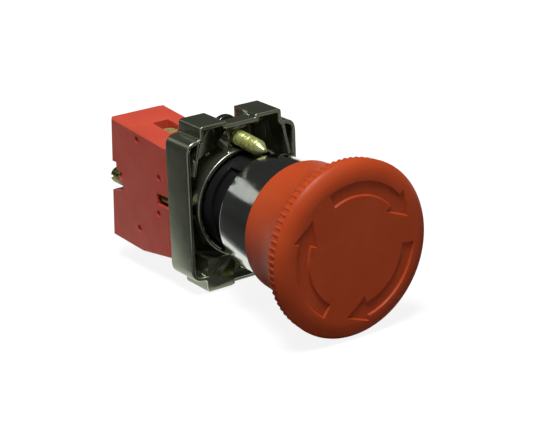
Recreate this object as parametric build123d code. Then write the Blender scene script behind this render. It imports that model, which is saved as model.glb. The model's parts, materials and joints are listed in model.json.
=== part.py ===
from build123d import *
import math
import os

# Emergency stop push button for a 22 mm panel hole: a 40 mm turn-to-release mushroom head,
# a chromed bezel, a barrel that passes through the panel, a die-cast clamp collar behind
# the panel and one normally closed contact block on the left of the collar's two places.
#
# Frame, in millimetres: the origin is on the push axis at the panel seat, which is the rear
# face of the gasket. +Y points into the panel, the button faces -Y, +X is to the right as
# seen from the front and +Z is up.

# Clearances
RUN = 0.05            # radial play of a running fit
FIT = 0.02            # play of a fixed fit
FREE = 0.3            # gap between pieces that pass each other
TOUCH = 0.1           # end play of stacked pieces
PAST = 1.0            # how far a cutter or a buried end runs past a surface

# Movements
PUSH_TRAVEL = 4.5
LATCH_TURN = 30.0
CLAMP_TRAVEL = 6.5

# Gasket, barrel and bezel
GASKET_T = 1.0
GASKET_W = 1.25
BARREL_R = 11.0
BARREL_WALL = 2.4
FLANGE_T = 2.5
FLANGE_W = 1.2
NECK_W = 0.55
BEZEL_R = 13.4
BEZEL_L = 14.5
BEZEL_LIP_T = 0.6
BEZEL_LIP_W = 2.0
BEZEL_EDGE = 0.35
FRONT_WALL = 4.0
SEAL_T = 2.2
SEAL_W = 2.0
RELIEF_DEPTH = 0.9
RELIEF_START = 0.6
RELIEF_L = 5.3
RELIEF_ARC = 126.0
CHANNEL_DEPTH = 0.8
TOOTH_T = 2.0
TOOTH_ARC = 20.0
CHANNEL_ARC = 62.0

# Spindle, latch pins and return spring
SPINDLE_R = 6.0
JOURNAL_R = 4.0
WAIST_R = 4.8
PIN_R = 1.25
PIN_BITE = 3.0
PIN_COUNT = 3
PIN_RUN_UP = 1.0
LAND_GAP = 0.1
TWIST_WIRE_R = 0.25
TWIST_SPRING_L = 4.4
TWIST_TURNS = 3
CARRIAGE_WALL = 1.45
CARRIAGE_FLANGE_T = 1.2
CARRIAGE_KEY_W = 2.0
CARRIAGE_KEY_H = 0.9
RETURN_SPRING_L = 8.8
RETURN_WIRE_R = 0.4
RETURN_TURNS = 4
BUSH_T = 2.0
RING_T = 0.6
RING_BITE = 0.7
RING_REACH = 1.0
RING_GAP = 3.0
PLATE_GAP = 0.4
PLATE_T = 0.8
FOOT_R = 1.6
FOOT_L = 3.4
FOOT_X = 7.2
CLIP_T = 0.6
CLIP_W = 1.2
CLIP_BITE = 0.6
CLIP_GAP = 2.8
SPINDLE_TAIL = 0.8

# Mushroom cap
CAP_R = 19.85
SKIRT_R = 14.8
SKIRT_GAP = 0.3
SKIRT_LAP = 2.5
SKIRT_L = 19.3
CAP_TOP_T = 3.0
RIM_W = 2.7
RIM_H = 2.1
CAP_EDGE = 0.3
BAND_H = 1.3
BAND_IN = 0.45
DISH = 0.4
FLARE = ((0, 0), (0.276, 0.084), (0.532, 0.23), (0.756, 0.463), (1, 1))
BOSS_WALL = 2.5
ARROW_IN_R = 12.3
ARROW_OUT_R = 15.07
BARB_IN_R = 10.9
BARB_OUT_R = 16.3
ARROW_TIP_R = 14.3
ARROW_TAIL = 114.5
ARROW_HEAD = 40.0
ARROW_TIP = 20.5
ARROW_DEPTH = 0.5
CAP_PIN_R = 1.0

# Clamp collar
COLLAR_DEPTH = 8.8
COLLAR_W = 29.2
SHOULDER_H = 32.8
LUG_H = 38.8
LUG_X = 7.05
LUG_W = 6.3
MIDDLE_H = 37.3
COLLAR_WALL = 0.9
COLLAR_CORNER = 3.0
COLLAR_EDGE = 0.3
LUG_CORNER = 0.8
POCKET_DEPTH = 5.5
POCKET_FLOOR_Z = -11.5
MIDDLE_W = 7.6
SCREW_RECESS = 2.0
MOUTH_R = 11.86
MOUTH_DEPTH = 3.0
RING_WALL = 0.75
RING_PROUD = 0.5
RIB_T = 0.8
RIB_TOP_X = 11.0
RIB_FOOT_X = 12.9
RIB_FOOT_Z = 8.5
SEAT_SPLIT_W = 1.2
SEAT_SPLIT_DEPTH = 0.4

# Clamp screws
CLAMP_R = 1.75
CLAMP_Z = 14.65
CLAMP_LEAN = 4.0
CLAMP_TIP_BACK = 0.1
CLAMP_CONE = 1.9
CLAMP_HEAD_R = 3.6
CLAMP_HEAD_T = 2.4
HEAD_SEAT = 6.0
HEAD_BAY_W = 8.0
THREAD_BLOCK_H = 17.0
RIM_T = 3.3
SLOT_W = 0.7
SLOT_DEPTH = 1.0

# Contact block
BLOCK_W = 14.6
BLOCK_GAP = 0.05
BLOCK_TOP_FRONT = 13.3
BLOCK_TOP_REAR = 15.1
BLOCK_BOTTOM_FRONT = -12.9
BLOCK_BOTTOM_KINK = -14.8
BLOCK_BOTTOM_REAR = -14.4
BLOCK_KINK = 12.7
BLOCK_L_TOP = 23.4
BLOCK_L_BOTTOM = 25.6
BLOCK_WALL = 1.6
COVER_T = 1.3
CHAMBER_H = 17.8
CHAMBER_L = 19.4
SCREW_WALL = 0.4
EDGE = 0.4
TOP_SLIT_L = 5.0

# Block fixing screw
FIX_R = 1.3
FIX_X = 12.7
FIX_Z = 0.3
FIX_BOSS_R = 2.0
FIX_BOSS_BACK = 1.2
FIX_HEAD_R = 1.95
FIX_HEAD_L = 3.5
FIX_HEAD_FROM = 21.56
FIX_SEAT_L = 1.8
NOTCH_TOP = 4.4
NOTCH_BOTTOM = -3.3
NOTCH_STEP = 2.4
NOTCH_W = 4.5
SIDE_SLOT_L = 4.6
SIDE_SLOT_H = 2.6
DIMPLE_R = 0.8
DIMPLE_DEPTH = 0.5
DIMPLES = ((12.1, 12.3), (3.4, 5.5), (4.3, -3.3), (13.2, -9.3))

# Contact mechanism in the block
NOSE_R = 1.6
NOSE_L = 4.6
SLIDER_L = 10.5
SLIDER_H = 6.4
KEY_W = 1.8
KEY_H = 0.6
STEM_R = 1.3
STEM_L = 3.3
BRIDGE_FROM_NOSE = 11.9
BRIDGE_T = 0.8
BRIDGE_W = 3.0
BRIDGE_L = 14.4
TIP_R = 1.1
TIP_T = 0.4
TIP_Z = 6.0
STRIP_T = 0.8
STRIP_FOOT_Z = 4.8
CONTACT_WIRE_R = 0.25
CONTACT_COIL_R = 2.0
CONTACT_TURNS = 4

# Terminals
TERMINAL_Y = 10.9
TERMINAL_X = 6.6
PLATE_W = 3.8
TERMINAL_PLATE_L = 6.2
RECESS_W = 4.2
RECESS_L = 7.6
RECESS_FLOOR = 10.1
SADDLE_T = 0.8
SADDLE_LIP = 0.9
SADDLE_L = 6.0
TERMINAL_R = 1.25
TERMINAL_HEAD_R = 1.85
TERMINAL_HEAD_T = 1.5
TERMINAL_SHANK_END = 8.2

# Stations along the push axis that follow from the sizes above
flange_rear = -GASKET_T
flange_front = flange_rear - FLANGE_T
bezel_front = flange_rear - BEZEL_L
barrel_front = bezel_front + BEZEL_LIP_T
cavity_front = barrel_front + FRONT_WALL
cavity_r = BARREL_R - BARREL_WALL
pin_y = cavity_front + PIN_RUN_UP + PIN_R
land_front = pin_y + PIN_R + LAND_GAP
land_rear = pin_y + PUSH_TRAVEL - PIN_R - LAND_GAP
waist_front = pin_y + PIN_R + FREE
carriage_front = waist_front + TWIST_SPRING_L + TOUCH + RUN
spring_front = carriage_front + CARRIAGE_FLANGE_T
bush_front = spring_front + RETURN_SPRING_L
bush_rear = bush_front + BUSH_T
ring_rear = bush_rear + RING_T
plate_front = ring_rear + PLATE_GAP
carriage_rear = plate_front + PLATE_T
clip_front = carriage_rear + TOUCH
spindle_rear = clip_front + CLIP_T + SPINDLE_TAIL
collar_rear = spindle_rear + PUSH_TRAVEL + FREE
collar_front = collar_rear - COLLAR_DEPTH
barrel_rear = collar_rear - 0.5
foot_rear = carriage_rear + FOOT_L
nose_tip = foot_rear + TOUCH

# Radii that follow
carriage_in_r = JOURNAL_R + RUN
carriage_r = carriage_in_r + CARRIAGE_WALL
rear_bore_r = cavity_r + FREE
groove_r = cavity_r + FREE + RING_BITE
neck_r = BARREL_R + NECK_W
flange_r = BARREL_R + FLANGE_W
tooth_r = BARREL_R - CHANNEL_DEPTH + RUN
collar_bore_r = BARREL_R + RUN
tooth_front = collar_front + MOUTH_DEPTH

# Cap stations
skirt_rear = bezel_front + SKIRT_LAP
cap_face = skirt_rear - SKIRT_L
cap_inner_top = cap_face + CAP_TOP_T
boss_rear = bezel_front - PUSH_TRAVEL - FREE
boss_r = SPINDLE_R + BOSS_WALL
skirt_in_r = BEZEL_R + SKIRT_GAP
cap_pin_y = (cap_inner_top + boss_rear) / 2

# Block stations
block_right = -BLOCK_GAP
block_left = block_right - BLOCK_W
block_front = collar_rear
chamber_front = block_front + BLOCK_WALL
chamber_rear = chamber_front + CHAMBER_L
cover_in = block_right - COVER_T
chamber_left = -FIX_X + FIX_R + 0.5 * FREE + SCREW_WALL
slider_front = nose_tip + NOSE_L
slider_rear = slider_front + SLIDER_L
bridge_front = nose_tip + BRIDGE_FROM_NOSE
strip_rear = bridge_front - 2 * TIP_T
terminal_y = block_front + TERMINAL_Y
fix_tip = collar_front + FIX_BOSS_BACK
fix_head_front = block_front + FIX_HEAD_FROM
notch_front = fix_head_front - FIX_SEAT_L
fix_hole_r = FIX_R + 0.5 * FREE
head_seat = collar_front + HEAD_SEAT
recess_y = collar_front + SCREW_RECESS
ring_r = MOUTH_R + RING_WALL


def turned(*points):
    """A solid turned about the push axis from (radius, y) corners."""
    return revolve(make_face(Polyline(*points, close=True)), Axis.Y)


def tube(outer, inner, y0, y1):
    """A plain ring about the push axis."""
    return turned((inner, y0), (outer, y0), (outer, y1), (inner, y1))


def rod(radius, y0, y1, x=0.0, z=0.0):
    """A round bar along Y from y0 to y1."""
    return Pos(x, (y0 + y1) / 2, z) * Rot(90, 0, 0) * Cylinder(radius, y1 - y0)


def box(x0, x1, y0, y1, z0, z1):
    """A box between two corners."""
    middle = ((x0 + x1) / 2, (y0 + y1) / 2, (z0 + z1) / 2)
    return Pos(*middle) * Box(x1 - x0, y1 - y0, z1 - z0)


def along_y(sketch, y0, y1):
    """Extrudes a sketch, drawn as seen from the front, from y0 to y1."""
    return Pos(0, y1, 0) * extrude(Plane.XZ * sketch, y1 - y0)


def along_x(sketch, x0, x1):
    """Extrudes a sketch, drawn in the side view, from x0 to x1."""
    return Pos(x0, 0, 0) * extrude(Plane.YZ * sketch, x1 - x0)


def sector(inner, outer, y0, y1, arc, middle):
    """A piece of a ring that covers arc degrees about the angle middle, 0 being +X, 90 being +Z."""
    corners = Polyline((inner, y0), (outer, y0), (outer, y1), (inner, y1), close=True)
    piece = revolve(make_face(corners), Axis.Y, revolution_arc=arc)
    return Rot(0, -middle - arc / 2, 0) * piece


def coil(radius, wire, y0, y1, turns, x=0.0, z=0.0):
    """A helical spring along Y whose wire touches y0 and y1."""
    height = y1 - y0 - 2 * wire
    path = Helix(pitch=height / turns, height=height, radius=radius)
    section = Plane(origin=path @ 0, z_dir=path % 0) * RegularPolygon(wire, 6)
    spring = sweep(section, path=path)
    return Pos(x, y0 + wire, z) * Rot(-90, 0, 0) * spring


def on_clamp_axis(piece):
    """Leans a piece, drawn about the push axis, onto the upper clamp screw's axis."""
    return Pos(0, recess_y, CLAMP_Z) * Rot(CLAMP_LEAN, 0, 0) * Pos(0, -recess_y, 0) * piece


def at_pins(piece):
    """Copies a piece, drawn at +Z, to the angle of each latch pin."""
    step = 360 / PIN_COUNT
    return [Rot(0, i * step, 0) * piece for i in range(PIN_COUNT)]


def mirrored(piece):
    """The same piece on the other side of the horizontal plane."""
    return mirror(piece, Plane.XY)


def cap_body():
    edge_y = cap_face + RIM_H + BAND_H
    flare_l = edge_y - CAP_EDGE - skirt_rear
    grow = CAP_R - CAP_EDGE - SKIRT_R
    flare = [(SKIRT_R + grow * out, skirt_rear + flare_l * along) for along, out in FLARE]
    face_y = cap_face + DISH
    band_r = CAP_R - BAND_IN
    band_top = (band_r, cap_face + RIM_H)
    shoulder = (band_r - 0.3 * RIM_W, cap_face + 0.35 * RIM_H)
    crest = (band_r - RIM_W, cap_face)
    bore_r = SPINDLE_R + FIT
    outline = ThreePointArc(*flare[:3]) + ThreePointArc(*flare[2:])
    outline += Polyline(flare[-1], (CAP_R, edge_y), band_top)
    outline += ThreePointArc(band_top, shoulder, crest)
    outline += Polyline(
        crest, (crest[0] - 2 * DISH, face_y), (0, face_y), (0, cap_inner_top), (bore_r, cap_inner_top),
        (bore_r, boss_rear), (boss_r, boss_rear), (boss_r, cap_inner_top),
        (skirt_in_r, cap_inner_top), (skirt_in_r, skirt_rear), flare[0],
    )
    return revolve(make_face(outline), Axis.Y)


def polar(radius, angle):
    """A point seen from the front, 0 being +X and 90 being +Z."""
    turn = math.radians(angle)
    return (radius * math.cos(turn), radius * math.sin(turn))


def turn_arrow():
    """One of the three clockwise arrows, as seen from the front."""
    middle = (ARROW_TAIL + ARROW_HEAD) / 2
    outline = Polyline(polar(ARROW_IN_R, ARROW_HEAD), polar(BARB_IN_R, ARROW_HEAD), polar(ARROW_TIP_R, ARROW_TIP))
    outline += Polyline(polar(ARROW_TIP_R, ARROW_TIP), polar(BARB_OUT_R, ARROW_HEAD), polar(ARROW_OUT_R, ARROW_HEAD))
    outline += ThreePointArc(
        polar(ARROW_OUT_R, ARROW_HEAD), polar(ARROW_OUT_R, middle), polar(ARROW_OUT_R, ARROW_TAIL),
    )
    outline += Line(polar(ARROW_OUT_R, ARROW_TAIL), polar(ARROW_IN_R, ARROW_TAIL))
    outline += ThreePointArc(
        polar(ARROW_IN_R, ARROW_TAIL), polar(ARROW_IN_R, middle), polar(ARROW_IN_R, ARROW_HEAD),
    )
    return make_face(outline)


def mushroom_cap():
    cap = cap_body()
    cap -= Pos(0, cap_pin_y, 0) * Rot(0, 90, 0) * Cylinder(CAP_PIN_R + FIT, 2 * boss_r)
    arrow = along_y(turn_arrow(), cap_face - PAST, cap_face + DISH + ARROW_DEPTH)
    return cap - [Rot(0, turn, 0) * arrow for turn in (0, 120, 240)]


def cap_pin():
    length = 2 * (boss_r - FREE)
    return Pos(0, cap_pin_y, 0) * Rot(0, 90, 0) * Cylinder(CAP_PIN_R, length)


def bezel():
    edge = BEZEL_R - BEZEL_EDGE
    front_edge = BEZEL_R - 2 * BEZEL_EDGE
    lip_r = neck_r - BEZEL_LIP_W
    return turned(
        (lip_r, bezel_front), (front_edge, bezel_front), (edge, bezel_front + 0.5 * BEZEL_EDGE),
        (BEZEL_R, bezel_front + 2 * BEZEL_EDGE), (BEZEL_R, flange_rear - BEZEL_EDGE),
        (edge, flange_rear), (flange_r + RUN, flange_rear), (flange_r + RUN, flange_front),
        (neck_r + RUN, flange_front), (neck_r + RUN, barrel_front), (lip_r, barrel_front),
    )


def panel_gasket():
    return tube(BARREL_R + RUN + GASKET_W, BARREL_R + RUN, flange_rear, 0)


def stem_seal():
    seal_r = SPINDLE_R + SEAL_W
    lip = SPINDLE_R + RUN
    return turned(
        (lip, barrel_front), (seal_r, barrel_front), (seal_r, barrel_front + SEAL_T),
        (lip + 0.6, barrel_front + SEAL_T), (lip + 0.6, barrel_front + 0.7), (lip, barrel_front + 0.7),
    )


def barrel():
    seal_r = SPINDLE_R + SEAL_W + FIT
    seal_rear = barrel_front + SEAL_T
    bore = SPINDLE_R + RUN
    land_r = SPINDLE_R + FREE
    body = turned(
        (seal_r, barrel_front), (neck_r, barrel_front), (neck_r, flange_front), (flange_r, flange_front),
        (flange_r, flange_rear), (BARREL_R, flange_rear), (BARREL_R, barrel_rear),
        (rear_bore_r, barrel_rear), (rear_bore_r, ring_rear + RUN), (groove_r, ring_rear + RUN),
        (groove_r, bush_rear), (cavity_r, bush_rear), (cavity_r, land_rear), (land_r, land_rear),
        (land_r, land_front), (cavity_r, land_front), (cavity_r, cavity_front), (bore, cavity_front),
        (bore, seal_rear), (seal_r, seal_rear),
    )
    gate = box(-PIN_R - FREE, PIN_R + FREE, land_front - FIT, land_rear + FIT, 0, cavity_r)
    gates = [piece - rod(land_r, land_front - PAST, land_rear + PAST) for piece in at_pins(gate)]
    body -= gates
    floor = BARREL_R - RELIEF_DEPTH
    for middle in (0, 180):
        body -= sector(floor, BARREL_R + PAST, RELIEF_START, RELIEF_START + RELIEF_L, RELIEF_ARC, middle)
    channel_r = BARREL_R - CHANNEL_DEPTH
    lane = TOOTH_ARC + 4
    for middle in (0, 180):
        run = sector(
            channel_r, BARREL_R + PAST, tooth_front - RUN, tooth_front + TOOTH_T + RUN,
            CHANNEL_ARC, middle + (CHANNEL_ARC - lane) / 2,
        )
        entry = sector(
            channel_r, BARREL_R + PAST, tooth_front, barrel_rear + PAST, lane, middle + CHANNEL_ARC - lane,
        )
        body -= [run, entry]
    return body


def spindle():
    body = turned(
        (0, cap_inner_top), (SPINDLE_R, cap_inner_top), (SPINDLE_R, waist_front),
        (WAIST_R, waist_front), (WAIST_R, carriage_front - RUN), (JOURNAL_R, carriage_front - RUN),
        (JOURNAL_R, clip_front - RUN), (JOURNAL_R - CLIP_BITE, clip_front - RUN),
        (JOURNAL_R - CLIP_BITE, clip_front + CLIP_T + RUN), (JOURNAL_R, clip_front + CLIP_T + RUN),
        (JOURNAL_R, spindle_rear), (0, spindle_rear),
    )
    hole = Pos(0, pin_y, (PIN_BITE + SPINDLE_R + PAST) / 2) * Cylinder(PIN_R + FIT, SPINDLE_R + PAST - PIN_BITE)
    body -= at_pins(hole)
    return body - Pos(0, cap_pin_y, 0) * Rot(0, 90, 0) * Cylinder(CAP_PIN_R + FIT, 3 * SPINDLE_R)


def latch_pins():
    reach = cavity_r - FREE
    pin = Pos(0, pin_y, (PIN_BITE + reach) / 2) * Cylinder(PIN_R, reach - PIN_BITE)
    pin = chamfer(pin.faces().sort_by(Axis.Z)[-1].edges(), FREE)
    return Compound(children=at_pins(pin))


def twist_spring():
    radius = WAIST_R + FREE + TWIST_WIRE_R
    return coil(radius, TWIST_WIRE_R, waist_front + TOUCH, carriage_front - TOUCH, TWIST_TURNS)


def carriage():
    body = turned(
        (carriage_in_r, carriage_front), (cavity_r - RUN, carriage_front),
        (cavity_r - RUN, spring_front), (carriage_r, spring_front), (carriage_r, carriage_rear),
        (carriage_in_r, carriage_rear),
    )
    half = CARRIAGE_KEY_W / 2
    outer = carriage_r + CARRIAGE_KEY_H
    key = box(-half, half, spring_front, plate_front - TOUCH, carriage_in_r + FREE, outer)
    return body + key + mirrored(key)


def return_spring():
    radius = (carriage_r + CARRIAGE_KEY_H + cavity_r) / 2 + TOUCH
    return coil(radius, RETURN_WIRE_R, spring_front + RUN, bush_front - RUN, RETURN_TURNS)


def spring_bush():
    body = tube(cavity_r - FIT, carriage_r + RUN, bush_front, bush_rear)
    half = CARRIAGE_KEY_W / 2 + RUN
    way = box(-half, half, bush_front - PAST, bush_rear + PAST, 0, carriage_r + CARRIAGE_KEY_H + RUN)
    return body - way - mirrored(way)


def retaining_ring():
    ring = tube(groove_r - FIT, cavity_r - RING_REACH, bush_rear, ring_rear)
    half = RING_GAP / 2
    gap = box(-BARREL_R, 0, bush_rear - PAST, ring_rear + PAST, -half, half)
    return ring - gap


def pusher_plate():
    plate = tube(rear_bore_r - FREE, carriage_r + FIT, plate_front, carriage_rear)
    feet = [rod(FOOT_R, plate_front, foot_rear, x=side * FOOT_X) for side in (-1, 1)]
    return plate + feet


def spindle_clip():
    ring = tube(JOURNAL_R + CLIP_W, JOURNAL_R - CLIP_BITE + FIT, clip_front, clip_front + CLIP_T)
    half = CLIP_GAP / 2
    return ring - box(-half, half, clip_front - PAST, clip_front + CLIP_T + PAST, -2 * JOURNAL_R, 0)


def collar_outline(inset=0.0):
    """The collar as seen from the front: shoulders, four lugs and a lower middle."""
    width = COLLAR_W - 2 * inset
    shape = RectangleRounded(width, SHOULDER_H - 2 * inset, COLLAR_CORNER - inset)
    corner = LUG_CORNER * (1 - 0.5 * inset / COLLAR_WALL)
    for side in (-1, 1):
        lug = RectangleRounded(LUG_W - 2 * inset, LUG_H - 2 * inset, corner)
        shape += Pos(side * LUG_X, 0) * lug
    return shape + Rectangle(2 * LUG_X, MIDDLE_H - 2 * inset)


def pocket_outline():
    """The hollow in the collar's front between its outer wall and its ring."""
    hollow = collar_outline(COLLAR_WALL)
    hollow -= Circle(ring_r)
    hollow -= Rectangle(MIDDLE_W, LUG_H)
    hollow -= Pos(0, POCKET_FLOOR_Z - LUG_H / 2) * Rectangle(COLLAR_W, LUG_H)
    for side in (-1, 1):
        hollow -= Pos(side * FIX_X, FIX_Z) * Circle(FIX_BOSS_R)
        spine = Line((side * RIB_TOP_X, SHOULDER_H / 2), (side * RIB_FOOT_X, RIB_FOOT_Z))
        hollow -= trace(spine, RIB_T)
    return hollow


def screw_recess():
    """The sunk face around each clamp screw, as seen from the front."""
    low = ring_r
    high = MIDDLE_H / 2 - COLLAR_WALL
    return Pos(0, (low + high) / 2) * Rectangle(MIDDLE_W, high - low)


def collar():
    body = along_y(collar_outline(), collar_front, collar_rear)
    front = body.faces().sort_by(Axis.Y)[0]
    body = fillet(front.edges(), COLLAR_EDGE)
    body += rod(ring_r, collar_front - RING_PROUD, collar_rear)
    body -= along_y(pocket_outline(), collar_front - PAST, collar_front + POCKET_DEPTH)
    inside = COLLAR_W / 2 - COLLAR_WALL
    for side in (-1, 1):
        boss_front = rod(FIX_BOSS_R, collar_front - PAST, fix_tip, x=side * FIX_X, z=FIX_Z)
        boss_front &= box(-inside, inside, 0, collar_rear, -SHOULDER_H, SHOULDER_H)
        body -= boss_front - rod(ring_r, 0, collar_rear)
        body -= rod(FIX_R + RUN, collar_front, collar_rear + PAST, x=side * FIX_X, z=FIX_Z)
    half = HEAD_BAY_W / 2
    head_bay = on_clamp_axis(box(-half, half, head_seat, collar_rear + 2 * PAST, -half, LUG_H))
    head_bay += box(-half, half, collar_front + RIM_T, collar_rear + PAST, THREAD_BLOCK_H, LUG_H)
    recess = along_y(screw_recess(), collar_front - PAST, collar_front + SCREW_RECESS)
    screw_hole = on_clamp_axis(rod(CLAMP_R + RUN, collar_front - PAST, collar_rear + PAST))
    for piece in (head_bay, recess, screw_hole):
        body -= [piece, mirrored(piece)]
    split = SEAT_SPLIT_W / 2
    body -= box(-split, split, collar_rear - SEAT_SPLIT_DEPTH, collar_rear + PAST, -LUG_H, LUG_H)
    body -= rod(MOUTH_R, collar_front - PAST, tooth_front)
    body -= rod(collar_bore_r, collar_front - PAST, collar_rear + PAST)
    for middle in (0, 180):
        body += sector(tooth_r, collar_bore_r + FIT, tooth_front, tooth_front + TOOTH_T, TOOTH_ARC, middle)
    return body


def clamp_screw():
    tip = CLAMP_TIP_BACK
    seat = head_seat + RUN
    rear = seat + CLAMP_HEAD_T
    edge = CLAMP_HEAD_R - EDGE
    body = turned(
        (0, tip), (FREE, tip), (CLAMP_R, tip + CLAMP_CONE), (CLAMP_R, seat), (CLAMP_HEAD_R, seat),
        (CLAMP_HEAD_R, rear - EDGE), (edge, rear), (0, rear),
    )
    half = SLOT_W / 2
    body -= box(-CLAMP_HEAD_R, CLAMP_HEAD_R, rear - SLOT_DEPTH, rear + PAST, -half, half)
    return on_clamp_axis(body)


def block_outline():
    """The block in its side view."""
    return make_face(Polyline(
        (block_front, BLOCK_TOP_FRONT), (block_front + BLOCK_L_TOP, BLOCK_TOP_REAR),
        (block_front + BLOCK_L_BOTTOM, BLOCK_BOTTOM_REAR), (block_front + BLOCK_KINK, BLOCK_BOTTOM_KINK),
        (block_front, BLOCK_BOTTOM_FRONT), close=True,
    ))


def terminal_recess():
    half = RECESS_W / 2
    y0 = terminal_y - RECESS_L / 2
    return box(-TERMINAL_X - half, -TERMINAL_X + half, y0, y0 + RECESS_L, RECESS_FLOOR, 2 * BLOCK_TOP_REAR)


def block_shell(x0, x1):
    """A slice of the block with the hollow for a clamp screw that is wound back."""
    body = along_x(block_outline(), x0, x1)
    wound_back = head_seat + CLAMP_HEAD_T + CLAMP_TRAVEL + FREE
    half = CLAMP_HEAD_R + FREE
    relief = on_clamp_axis(box(-half, half, block_front - PAST, wound_back, -half, CLAMP_Z))
    return body - [relief, mirrored(relief)]


def block_housing():
    body = block_shell(block_left, cover_in)
    outer = body.faces().sort_by(Axis.X)[0]
    body = chamfer(outer.edges(), EDGE)
    half_h = CHAMBER_H / 2
    body -= box(chamber_left, cover_in + PAST, chamber_front, chamber_rear, -half_h, half_h)
    body -= rod(NOSE_R + RUN, block_front - PAST, chamber_front + PAST, x=-FOOT_X)
    strip_w = BRIDGE_W / 2 + TOUCH
    slot = box(
        -FOOT_X - strip_w, cover_in + PAST, strip_rear - STRIP_T - TOUCH, strip_rear + TOUCH,
        half_h - PAST, RECESS_FLOOR + PAST,
    )
    shank = Pos(-TERMINAL_X, terminal_y, RECESS_FLOOR - PAST) * Cylinder(TERMINAL_R + FREE, 2 * SADDLE_L)
    for piece in (terminal_recess(), slot, shank):
        body -= [piece, mirrored(piece)]
    rail_z = SLIDER_H / 2 + RUN
    rail = box(
        chamber_left - FIT, cover_in, chamber_front - FIT, strip_rear - STRIP_T - FREE, rail_z, rail_z + PAST,
    )
    body += [rail, mirrored(rail)]
    notch = fixing_notch() - rod(FIX_HEAD_R, notch_front - PAST, fix_head_front, x=-FIX_X, z=FIX_Z)
    body -= notch
    body -= rod(fix_hole_r, block_front - PAST, fix_head_front + PAST, x=-FIX_X, z=FIX_Z)
    side_z = SIDE_SLOT_H / 2
    side_y = block_front + SIDE_SLOT_L
    body -= box(block_left - PAST, -FIX_X, block_front - PAST, side_y, FIX_Z - side_z, FIX_Z + side_z)
    for y, z in DIMPLES:
        dimple = Pos(block_left, block_front + y, z) * Rot(0, 90, 0) * Cylinder(DIMPLE_R, 2 * DIMPLE_DEPTH)
        body -= dimple
    return body


def fixing_notch():
    """The open corner at the block's rear that holds the fixing screw's head."""
    rear = block_front + BLOCK_L_BOTTOM + PAST
    step_y = notch_front + NOTCH_STEP
    low_z = FIX_Z - FIX_HEAD_R - FREE
    outline = make_face(Polyline(
        (rear, NOTCH_TOP), (step_y, NOTCH_TOP), (step_y, FIX_Z + FIX_HEAD_R + FREE),
        (notch_front, FIX_Z + FIX_HEAD_R + FREE), (notch_front, low_z), (rear, NOTCH_BOTTOM), close=True,
    ))
    return along_x(outline, block_left - PAST, block_left + NOTCH_W)


def block_cover():
    plate = block_shell(cover_in, block_right)
    outer = plate.faces().sort_by(Axis.X)[-1]
    plate = chamfer(outer.edges(), EDGE)
    half = KEY_W / 2 + TOUCH
    return plate - box(cover_in - PAST, cover_in + KEY_H + TOUCH, chamber_front, chamber_rear, -half, half)


def fixing_screw():
    shank = rod(FIX_R, fix_tip, fix_head_front, x=-FIX_X, z=FIX_Z)
    head_rear = fix_head_front + FIX_HEAD_L
    head = rod(FIX_HEAD_R, fix_head_front, head_rear, x=-FIX_X, z=FIX_Z)
    half = SLOT_W / 2
    slot = box(-2 * FIX_X, 0, head_rear - SLOT_DEPTH, head_rear + PAST, FIX_Z - half, FIX_Z + half)
    return shank + head - slot


def block_plunger():
    nose = rod(NOSE_R, nose_tip, slider_front + PAST, x=-FOOT_X)
    half = SLIDER_H / 2
    body = box(chamber_left + TOUCH, cover_in - TOUCH, slider_front, slider_rear, -half, half)
    key = box(cover_in - PAST, cover_in + KEY_H, slider_front, slider_rear, -KEY_W / 2, KEY_W / 2)
    stem = rod(STEM_R, slider_rear - PAST, slider_rear + STEM_L, x=-FOOT_X)
    window = box(
        -FOOT_X - BRIDGE_W / 2 - RUN, -FOOT_X + BRIDGE_W / 2 + RUN,
        bridge_front - RUN, bridge_front + BRIDGE_T + RUN, -SLIDER_H, SLIDER_H,
    )
    return nose + body + key + stem - window


def contact_bridge():
    half = BRIDGE_W / 2
    bar = box(
        -FOOT_X - half, -FOOT_X + half, bridge_front, bridge_front + BRIDGE_T, -BRIDGE_L / 2, BRIDGE_L / 2,
    )
    tips = [rod(TIP_R, bridge_front - TIP_T, bridge_front + FIT, x=-FOOT_X, z=side * TIP_Z) for side in (-1, 1)]
    return bar + tips


def fixed_contact():
    half = BRIDGE_W / 2
    leg = box(
        -FOOT_X - half, -FOOT_X + half, strip_rear - STRIP_T, strip_rear, STRIP_FOOT_Z,
        RECESS_FLOOR + STRIP_T,
    )
    wide = PLATE_W / 2
    y0 = strip_rear - STRIP_T
    plate = box(
        -TERMINAL_X - wide, -TERMINAL_X + wide, y0, y0 + TERMINAL_PLATE_L,
        RECESS_FLOOR, RECESS_FLOOR + STRIP_T,
    )
    tip = rod(TIP_R, strip_rear - FIT, strip_rear + TIP_T, x=-FOOT_X, z=TIP_Z)
    hole = Pos(-TERMINAL_X, terminal_y, RECESS_FLOOR) * Cylinder(TERMINAL_R + RUN, SADDLE_L)
    return leg + plate + tip - hole


def terminal_clamp():
    z0 = RECESS_FLOOR + STRIP_T
    half = PLATE_W / 2
    left = -TERMINAL_X - half
    right = -TERMINAL_X + half
    reach = SADDLE_L / 2
    plate = box(left, right, terminal_y - reach, terminal_y + reach, z0, z0 + SADDLE_T)
    for y0 in (terminal_y - reach, terminal_y + reach - SADDLE_T):
        plate += box(left, right, y0, y0 + SADDLE_T, z0, z0 + SADDLE_T + SADDLE_LIP)
    return plate - Pos(-TERMINAL_X, terminal_y, z0) * Cylinder(TERMINAL_R + TOUCH, SADDLE_L)


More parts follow.
